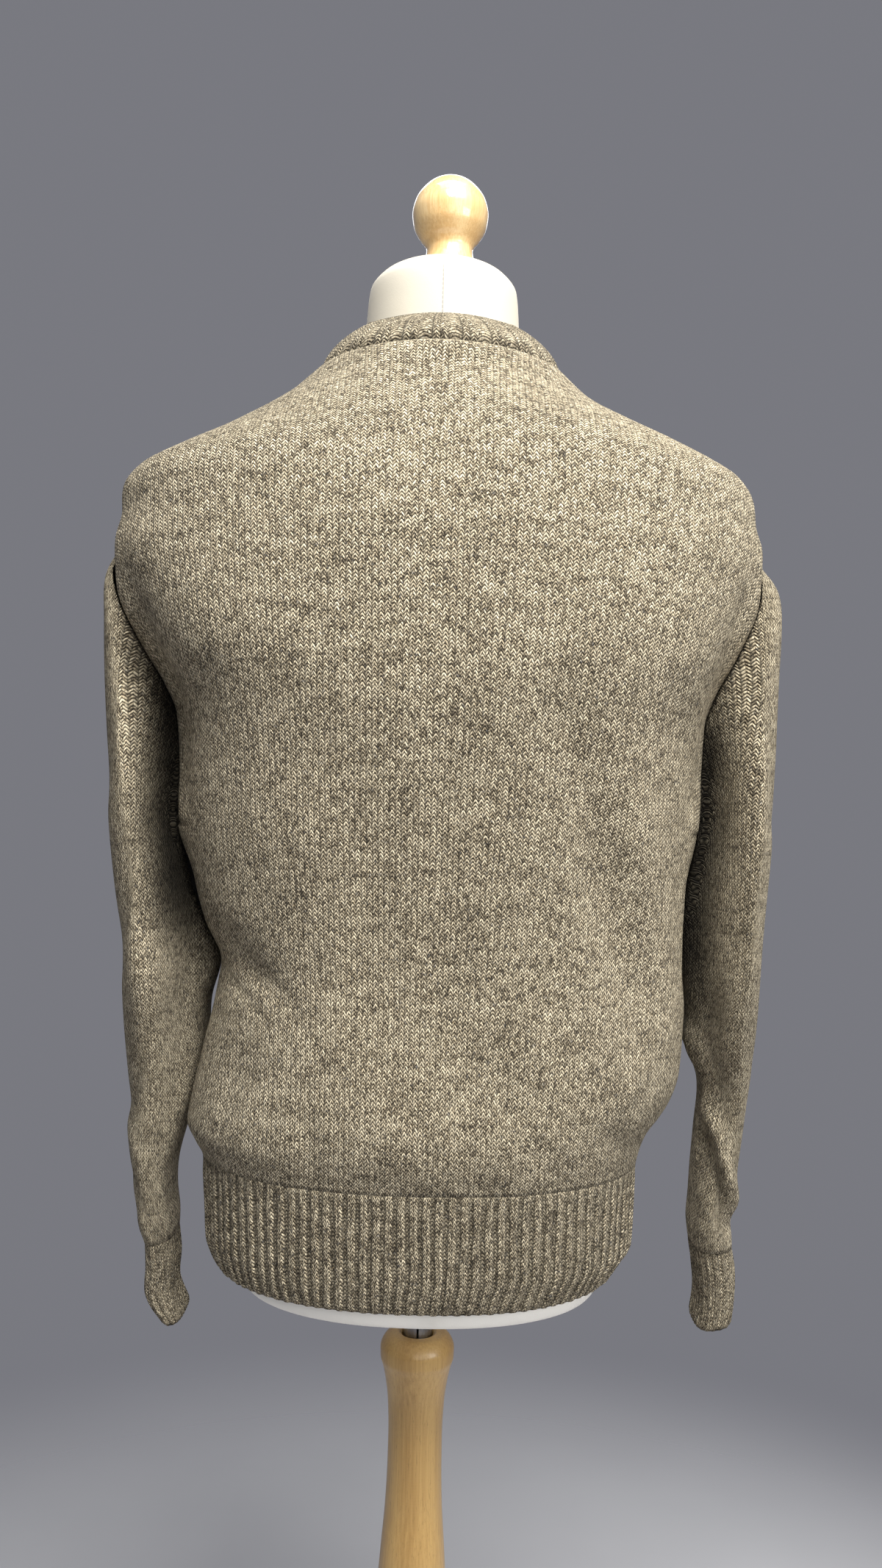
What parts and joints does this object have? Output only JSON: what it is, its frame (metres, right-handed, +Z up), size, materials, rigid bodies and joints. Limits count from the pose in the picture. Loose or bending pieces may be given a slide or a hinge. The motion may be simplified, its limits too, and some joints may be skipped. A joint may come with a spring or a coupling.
{
  "type": "knitted crew-neck sweater on a limbless dress form",
  "caption": "Plain marled wool pullover with ribbed neckband, cuffs and hem, worn by a limbless torso form with a turned ball finial, on a wooden pole and round foot.",
  "frame": {"origin": "on the floor under the middle of the whole object's bounding box", "axes": "+Z up, +Y towards the back of the sweater, +X to the wearer's left"},
  "size_m": [0.5306, 0.38, 1.589],
  "materials": {
    "wool_knit": "marled olive-straw wool in plain stockinette, soft nap",
    "wool_rib": "the same marled wool in 2x2 rib",
    "form_cloth": "cream cotton jersey stretched over the form",
    "varnished_wood": "clear glossy varnish on beech",
    "turned_wood": "satin lacquer on turned beech",
    "steel": "zinc-plated tube"
  },
  "bodies": {
    "root": {"body_back": "wool_knit", "body_front": "wool_knit", "sleeve_left": "wool_knit", "sleeve_right": "wool_knit", "neckband": "wool_rib", "hem_rib_back": "wool_rib", "hem_rib_front": "wool_rib", "cuff_left": "wool_rib", "cuff_right": "wool_rib", "form_torso": "form_cloth", "neck_finial": "varnished_wood", "pole": "turned_wood", "base": "turned_wood", "steel_rod": "steel"}
  },
  "joints": []
}
